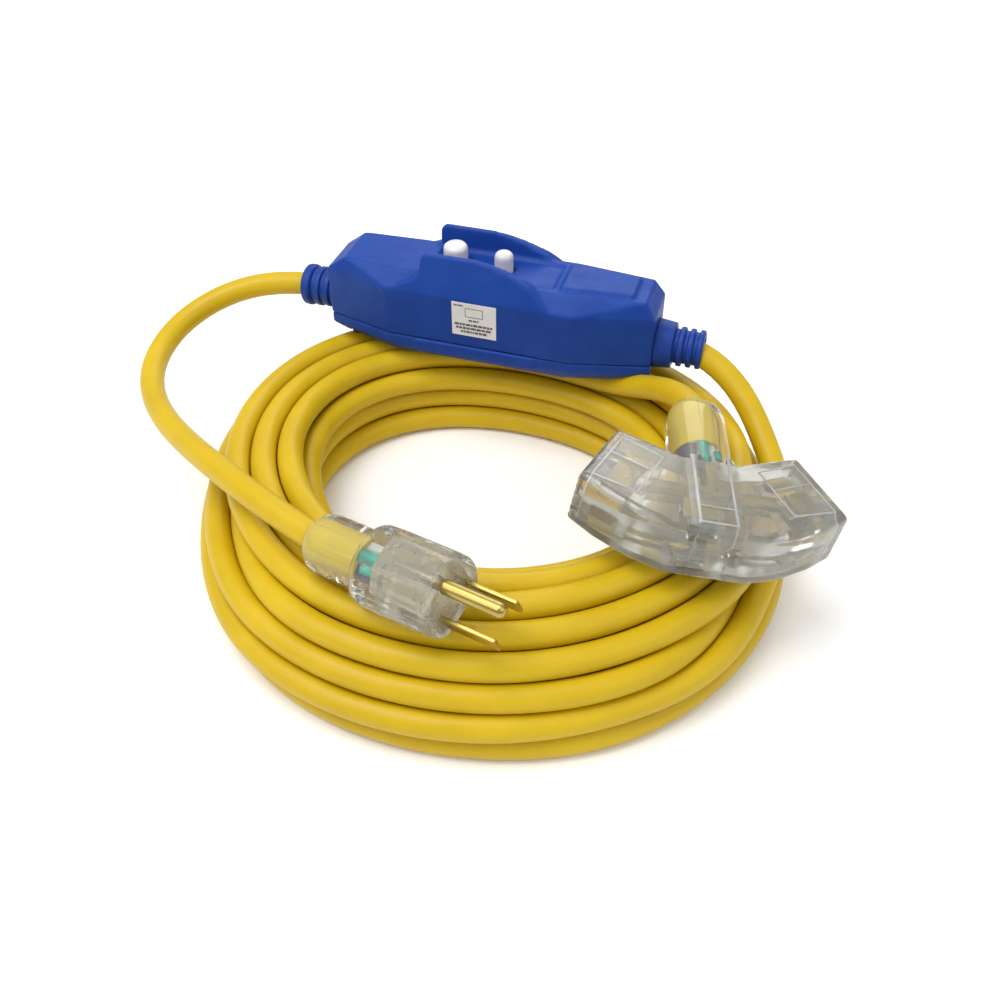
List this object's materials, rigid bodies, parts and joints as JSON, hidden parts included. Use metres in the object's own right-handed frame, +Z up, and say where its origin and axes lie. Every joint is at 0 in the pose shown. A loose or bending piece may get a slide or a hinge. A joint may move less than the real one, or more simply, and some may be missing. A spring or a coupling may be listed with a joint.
{
  "type": "extension cord",
  "caption": "Coiled three-conductor extension cord with an in-line ground-fault module, a clear moulded plug and a clear fan-shaped triple outlet.",
  "frame": {"origin": "on the floor, under the middle of the footprint of the coil, module, plug, outlet and loose lead", "axes": "+Z up; +X towards the triple outlet's side; +Y towards the module, at the back of the coil"},
  "size_m": [0.2474, 0.2102, 0.0795],
  "materials": {
    "blue_shell": "moulded, fine texture",
    "blue_relief": "moulded, fine texture",
    "seal_black": "matt",
    "label_white": "satin film",
    "button_grey": "satin",
    "spring_steel": "bright",
    "lens_red": "gloss",
    "inner_ivory": "satin",
    "board_green": "satin",
    "core_brown": "varnished",
    "core_copper": "varnished wire",
    "steel_bright": "zinc plated",
    "carriage_dark": "satin",
    "contact_brass": "bright",
    "disc_blue": "epoxy",
    "resistor_tan": "lacquer",
    "wire_black": "satin",
    "wire_white": "satin",
    "wire_green": "satin",
    "clear_pvc": "clear, slightly cloudy",
    "frame_clear": "clear, slightly cloudy",
    "bridge_white": "translucent",
    "cord_yellow": "satin jacket"
  },
  "bodies": {
    "root": {"module_base": "blue_shell", "module_cover": "blue_shell", "module_gasket": "seal_black", "line_strain_relief": "blue_relief", "load_strain_relief": "blue_relief", "rating_label": "label_white", "reset_spring": "spring_steel", "test_spring": "spring_steel", "status_lens": "lens_red", "button_deck": "inner_ivory", "circuit_board": "board_green", "sense_transformer": "core_brown", "neutral_transformer": "core_copper", "trip_solenoid": "core_copper", "fixed_contacts": "contact_brass", "surge_disc": "disc_blue", "filter_capacitor": "carriage_dark", "test_resistor": "resistor_tan", "module_line_wires": "wire_black", "module_load_wires": "wire_black", "cover_screws": "steel_bright", "plug_body": "clear_pvc", "plug_bridge": "bridge_white", "plug_jacket_end": "cord_yellow", "hot_blade": "contact_brass", "neutral_blade": "contact_brass", "ground_pin": "contact_brass", "plug_ground_wire": "wire_green", "plug_hot_wire": "wire_black", "plug_neutral_wire": "wire_white", "plug_lamp": "wire_green", "tap_body": "clear_pvc", "tap_collar": "clear_pvc", "tap_frame": "frame_clear", "tap_jacket_end": "cord_yellow", "tap_hot_bus": "contact_brass", "tap_neutral_bus": "contact_brass", "tap_ground_bus": "contact_brass", "tap_ground_wire": "wire_green", "tap_hot_wire": "wire_black", "tap_neutral_wire": "wire_white", "tap_lamp": "wire_green", "line_cord": "cord_yellow", "load_cord_lead": "cord_yellow", "cord_coil": "cord_yellow", "tap_lead": "cord_yellow"},
    "reset_button": {"reset_button": "button_grey"},
    "test_button": {"test_button": "button_grey"},
    "solenoid_plunger": {"solenoid_plunger": "steel_bright"},
    "contact_carriage": {"contact_carriage": "carriage_dark"}
  },
  "joints": [
    {"name": "reset_press", "type": "slide", "parent": "root", "child": "reset_button", "axis": [0, 0, -1], "range_m": [0, 0.0015], "stiffness_N_per_m": 300, "springref_m": -0.003, "deforming": ["reset_spring"]},
    {"name": "test_press", "type": "slide", "parent": "root", "child": "test_button", "axis": [0, 0, -1], "range_m": [0, 0.0015], "stiffness_N_per_m": 300, "springref_m": -0.003, "deforming": ["test_spring"]},
    {"name": "contact_close", "type": "slide", "parent": "root", "child": "contact_carriage", "axis": [0, 0, -1], "range_m": [0, 0.0015]},
    {"name": "solenoid_pull", "type": "slide", "parent": "root", "child": "solenoid_plunger", "axis": [-0.9542, 0.299, 0], "range_m": [0, 0.002], "stiffness_N_per_m": 100, "springref_m": -0.002}
  ],
  "couplings": [
    {"joint": "contact_close", "follows": "reset_press", "ratio": 1}
  ]
}
